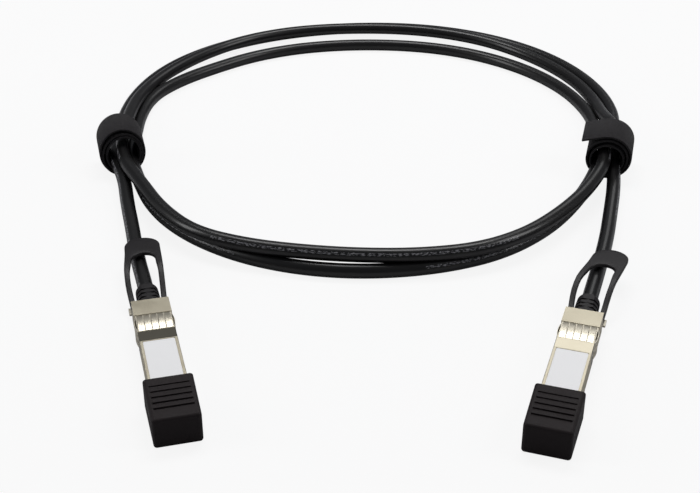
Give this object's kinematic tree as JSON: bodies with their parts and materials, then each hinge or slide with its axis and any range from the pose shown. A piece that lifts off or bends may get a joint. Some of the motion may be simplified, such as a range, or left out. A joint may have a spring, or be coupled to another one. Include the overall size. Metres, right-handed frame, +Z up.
{
  "type": "direct attach copper cable",
  "caption": "Passive twinax cable with a latching pluggable module on each end, coiled and tied, for short links between rack equipment.",
  "frame": {"origin": "under the middle of the two plugs, on the surface the cable lies on", "axes": "+Z up; +X from the left plug to the right plug; +Y from the plugs' noses back towards the loop of cable"},
  "size_m": [0.2418, 0.3685, 0.021],
  "materials": {
    "housing": "satin nickel plate on cast zinc",
    "spring_steel": "bright",
    "label": "satin film",
    "board": "solder mask with gold pads",
    "chip": "matt",
    "foil": "foil",
    "tab": "satin moulded",
    "boot": "satin moulded",
    "cap": "matt",
    "jacket": "smooth glossy sheath",
    "hook_and_loop": "napped"
  },
  "bodies": {
    "cable": {"left_lower_shell": "housing", "left_upper_shell": "housing", "left_shell_screw": "spring_steel", "left_label": "label", "left_emi_collar": "spring_steel", "left_circuit_board": "board", "left_memory_chip": "chip", "left_crimp_ferrule": "spring_steel", "left_twinax_pairs": "foil", "left_latch_spring": "spring_steel", "left_strain_relief": "boot", "right_lower_shell": "housing", "right_upper_shell": "housing", "right_shell_screw": "spring_steel", "right_label": "label", "right_emi_collar": "spring_steel", "right_circuit_board": "board", "right_memory_chip": "chip", "right_crimp_ferrule": "spring_steel", "right_twinax_pairs": "foil", "right_latch_spring": "spring_steel", "right_strain_relief": "boot", "cable_lead_left": "jacket", "cable_lead_right": "jacket", "left_tie": "hook_and_loop", "right_tie": "hook_and_loop", "cable_coil": "jacket"},
    "left_latch": {"left_latch_slider": "spring_steel", "left_pull_tab": "tab"},
    "left_cap": {"left_dust_cap": "cap"},
    "right_latch": {"right_latch_slider": "spring_steel", "right_pull_tab": "tab"},
    "right_cap": {"right_dust_cap": "cap"}
  },
  "joints": [
    {"name": "left_latch_pull", "type": "slide", "parent": "cable", "child": "left_latch", "axis": [-0.2487, 0.9686, 0], "range_m": [0, 0.0026], "stiffness_N_per_m": 1500, "springref_m": -0.0005},
    {"name": "left_cap_pull", "type": "slide", "parent": "cable", "child": "left_cap", "axis": [0.2487, -0.9686, 0], "range_m": [0, 0.024]},
    {"name": "right_latch_pull", "type": "slide", "parent": "cable", "child": "right_latch", "axis": [0.3074, 0.9516, 0], "range_m": [0, 0.0026], "stiffness_N_per_m": 1500, "springref_m": -0.0005},
    {"name": "right_cap_pull", "type": "slide", "parent": "cable", "child": "right_cap", "axis": [-0.3074, -0.9516, 0], "range_m": [0, 0.024]}
  ]
}
